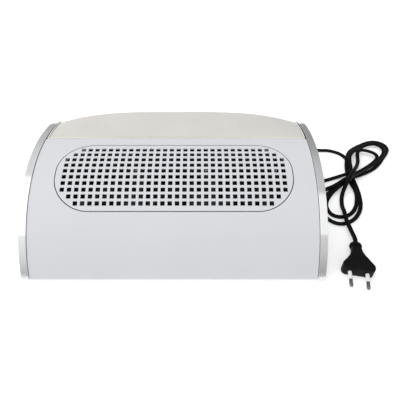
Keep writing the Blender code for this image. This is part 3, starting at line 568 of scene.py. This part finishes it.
def arch_height(y, inset):
    """Height of the arched housing at this Y, moved in by inset, above the floor."""
    if y < CREST_Y:
        return FRONT_ARC_Z + math.sqrt((FRONT_RADIUS - inset) ** 2 - (y - CREST_Y) ** 2)
    return REAR_ARC_Z + math.sqrt((REAR_RADIUS - inset) ** 2 - (y - CREST_Y) ** 2)


# The grille's ledge lies this far below the arch and is painted black as far back as this: painted shade in the
# gap round the grille.
SHADED_LEDGE_DEPTH = 0.0014
SHADED_LEDGE_REAR_Y = FRONT_Y + 0.14


def paint_ledge_shade(cover, made):
    """Paints the sunken ledge that the grille rests on black, as painted shade in the gap round the grille."""
    cover.data.materials.append(made.material)
    for face in cover.data.polygons:
        at = cover.matrix_world @ face.center
        on_ledge = abs(arch_height(at.y, SHADED_LEDGE_DEPTH) - at.z) < 0.0004
        if on_ledge and face.normal.z > 0.7 and at.y < SHADED_LEDGE_REAR_Y:
            face.material_index = 1


# Hand rest: its level along the front and how much it rises to the rear, its seat in the cover, and the
# radii that its edges roll over

REST_LEVEL, REST_RISE = 0.0833, 0.0022
REST_SEAT = 0.0044
REST_FRONT_ROLL, REST_REAR_ROLL, REST_END_ROLL = 0.0022, 0.009, 0.0012
REST_TUCK = 0.0007
# Below this depth under the arch, the rest's end faces are painted black: painted shade in the gap between the
# rest and the chrome trims.
END_SHADE_DEPTH = 0.0018


def rounded(inside, radius):
    """How far the surface has dropped at this distance in from an edge of this radius."""
    return 0 if inside >= radius else radius - math.sqrt(radius**2 - (radius - inside) ** 2)


def rest_outline():
    """The hand rest's front, rear and half width, drawn in a little from the CAD cushion's."""
    low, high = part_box("hand_rest_cushion")
    return low.y, high.y, high.x - 0.0005


def hand_rest(made, end_shade):
    """A padded leatherette rest, level on top and rolled over at its edges, with painted shade in black on its
    ends beside the chrome trims.
    """
    front, rear, half_x = rest_outline()
    columns, rows = 150, 44

    def top(x, y):
        t = (y - front) / (rear - front)
        level = REST_LEVEL + REST_RISE * t
        spread = 1 - abs(x / half_x) ** 3.5
        return arch_height(y, 0) + (level - arch_height(y, 0)) * spread - 0.0003

    def spaced(count, edge):
        """Fractions across the rest, closer together near both edges."""
        return [0.5 - 0.5 * math.cos(math.pi * i / count) * (1 - edge) - 0.5 * (1 - 2 * i / count) * edge
                for i in range(count + 1)]

    work = bmesh.new()
    grid = []
    for s in spaced(columns, 0.55):
        x = (2 * s - 1) * half_x
        line = []
        for t in spaced(rows, 0.35):
            y = front + t * (rear - front)
            drop = rounded(y - front, REST_FRONT_ROLL) + rounded(rear - y, REST_REAR_ROLL)
            drop += rounded(half_x - abs(x), REST_END_ROLL)
            soft = noise.noise(Vector((x * 22, y * 40, 0.3))) * 0.00022
            base = arch_height(y, REST_SEAT)
            line.append(work.verts.new((x, y, max(base + 0.0006, top(x, y) - drop + soft))))
        grid.append(line)
    for a, b in zip(grid, grid[1:]):
        for i in range(rows):
            work.faces.new((a[i], b[i], b[i + 1], a[i + 1]))
    edge = [line[0] for line in grid] + grid[-1][1:]
    edge += [line[-1] for line in reversed(grid[:-1])] + grid[0][-2:0:-1]
    hem = []
    for vertex in edge:
        x, y, _ = vertex.co
        inner_x = max(-half_x + REST_TUCK, min(half_x - REST_TUCK, x))
        inner_y = max(front + REST_TUCK, min(rear - REST_TUCK, y))
        hem.append(work.verts.new((inner_x, inner_y, arch_height(y, REST_SEAT))))
    for i in range(len(edge)):
        work.faces.new((edge[i - 1], hem[i - 1], hem[i], edge[i]))
    work.faces.new(hem)
    rest = mesh_object("hand_rest_pad", work, made)
    # The low end faces get the black finish, which is painted shade in the gap beside the trims.
    rest.data.materials.append(end_shade.material)
    for face in rest.data.polygons:
        if abs(face.normal.x) > 0.6 and face.center.z < arch_height(face.center.y, END_SHADE_DEPTH):
            face.material_index = 1
    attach(rest, "housing")
    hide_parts("hand_rest_cushion")


def piping(made):
    """The welded bead round the edge of the hand rest, coloured paler than the leatherette as a painted
    highlight along the edge.
    """
    front, rear, half_x = rest_outline()
    middle_y, half_y = (front + rear) / 2, (rear - front) / 2 - 0.0003
    radius, sides = 0.0006, 8

    def bead_height(y):
        return arch_height(y, 0) + 0.0003 - min(0.0036, rounded(rear - y, REST_REAR_ROLL))

    outline = rounded_section(half_x - 0.0003, half_y, 0.0012, 5, 2)
    line = []
    for a, b in zip(outline, [*outline[1:], outline[0]]):
        count = max(1, round(math.dist(a, b) / 0.002))
        line += [(a[0] + (b[0] - a[0]) * i / count, a[1] + (b[1] - a[1]) * i / count) for i in range(count)]
    line = [Vector((x, middle_y + y, bead_height(middle_y + y))) for x, y in line]
    work = bmesh.new()
    rings = []
    for i, point in enumerate(line):
        along = (line[(i + 1) % len(line)] - line[i - 1]).normalized()
        across = along.cross(Vector((0, 0, 1))).normalized()
        up = across.cross(along)
        ring = []
        for step in range(sides):
            angle = 2 * math.pi * step / sides
            ring.append(work.verts.new(point + (across * math.cos(angle) + up * math.sin(angle)) * radius))
        rings.append(ring)
    skin(work, [*rings, rings[0]], close_ends=False)
    bead = mesh_object("hand_rest_piping", work, made)
    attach(bead, "housing")


# Dust bag: how far along it from the mouth, as a fraction, then its bottom and top heights and how far its
# sides pull in

BAG_STATIONS = (
    (0.0, 0.0090, 0.0550, 0), (0.10, 0.0090, 0.0550, 0), (0.20, 0.0086, 0.0548, 0),
    (0.34, 0.0068, 0.0534, 0.0002), (0.52, 0.0058, 0.0500, 0.0006), (0.70, 0.0060, 0.0448, 0.0016),
    (0.84, 0.0080, 0.0392, 0.0040), (0.94, 0.0120, 0.0330, 0.0080), (1.0, 0.0180, 0.0270, 0.0120),
)
BAG_CORNER, BAG_LEAST_CORNER = 0.0120, 0.0040
BAG_WALL = 0.0012


def dust_bag(made):
    """A cloth bag that sags from its mouth, with gathers behind the elastic and a closed, rounded end."""
    low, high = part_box("dust_bag")
    inside = BAG_WALL / 2
    work = bmesh.new()
    rings = []
    for t, bottom, top, inset in smooth_through(BAG_STATIONS, 6):
        y = low.y + t * (high.y - low.y - inside)
        corner = max(BAG_LEAST_CORNER, BAG_CORNER - inset * 0.3)
        section = rounded_section(high.x - inside - inset, (top - bottom) / 2, corner)
        ring = []
        for x, z in section:
            pleat = math.sin(x * 420) * math.exp(-((t - 0.27) / 0.16) ** 2) * 0.0005
            sag = noise.noise(Vector((x * 26, y * 34, z * 30))) * 0.0011 * min(1, max(0, (t - 0.2) * 4))
            grow = 1 + (pleat + sag) / max(0.012, abs(z) + abs(x) * 0.2)
            ring.append(work.verts.new((x * (1 + sag * 2), y, (top + bottom) / 2 + z * grow)))
        rings.append(ring)
    skin(work, rings, close_ends=False)
    work.faces.new(rings[-1])
    bag = mesh_object("dust_bag_cloth", work, made)
    cloth = bag.modifiers.new("cloth", "SOLIDIFY")
    cloth.thickness = BAG_WALL
    cloth.offset = -1
    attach(bag, "dust_bag")
    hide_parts("dust_bag")


# Everything together

camera()
SHEATH = cord_sheath()
lead, lead_line, lead_length = mains_lead(SHEATH)
studio()
floor()

WHITE = gloss_white()
BLACK = moulded("black_plastic", (0.013, 0.013, 0.014), (0.020, 0.020, 0.021), 0.42)
GREY = moulded("grey_plastic", (0.028, 0.028, 0.030), (0.040, 0.040, 0.042), 0.50)
RUBBER = moulded("black_rubber", (0.022, 0.022, 0.022), (0.035, 0.035, 0.034), 0.78, 0.0009, 0.00006)
SLEEVE = moulded("white_sleeve", (0.80, 0.80, 0.81), (0.74, 0.74, 0.75), 0.38)
STEEL = brushed_steel()
PIN_METAL = brushed_steel("nickel_pin", (0.20, 0.195, 0.19), 0.2)
FANS = ("left", "middle", "right")

dress(["top_cover"], WHITE, 0.0005)
dress(["grille"], WHITE, 0.0001)
dress(["base_pan", "rear_panel"], WHITE, 0.0004)
dress(["side_panel_left", "side_panel_right"], WHITE)
dress(["chrome_trim_left", "chrome_trim_right"], chrome(), 0.0013, 4)
dress(["hand_rest_board"], GREY, 0.0003)
dress(["fan_deck"], GREY, 0.0003)
dress([f"fan_frame_{name}" for name in FANS], BLACK, 0.0004)
dress([f"fan_rotor_{name}" for name in FANS], BLACK, 0.0003)
dress([f"rubber_foot_{number}" for number in range(1, 5)], RUBBER)
dress([f"{kind}_screw_{number}" for kind in ("base", "fan") for number in range(1, 7)], STEEL, 0.0002)
dress(["switch_housing", "switch_rocker"], BLACK, 0.0004, 3)
dress(["power_board"], circuit_board())
dress(["transformer"], coil_tape(), 0.0008, 3)
dress(["capacitor"], BLACK, 0.0005, 3)
dress(["terminal_block"], SLEEVE, 0.0005)
dress(["strain_relief"], SHEATH, 0.0003)
dress(["plug_body"], plug_rubber(), 0.0004)
dress(["plug_sleeve_left", "plug_sleeve_right"], SLEEVE)
dress(["plug_pin_left", "plug_pin_right"], PIN_METAL)
dress(["bag_elastic"], elastic(), 0.0004)

# Black on the grille's ledge stands for the shade in the gap round the grille: painted shade.
paint_ledge_shade(NODES["top_cover"], moulded("painted_ledge_shade", (0.010, 0.010, 0.010), (0.018, 0.018, 0.018), 0.92))
LEATHERETTE = leatherette()
# A black finish for the hand rest's ends: painted shade in the gap beside the chrome trims.
END_SHADE = moulded("painted_end_shade", (0.004, 0.004, 0.004), (0.008, 0.008, 0.008), 0.9)
hand_rest(LEATHERETTE, END_SHADE)
# The bead is paler than the leatherette: a painted highlight along the hand rest's edge.
piping(moulded("bead_painted_highlight", (0.86, 0.85, 0.80), (0.82, 0.81, 0.76), 0.34))
dust_bag(plain_weave("bag_cloth", (0.74, 0.74, 0.76), (0.71, 0.71, 0.73)))
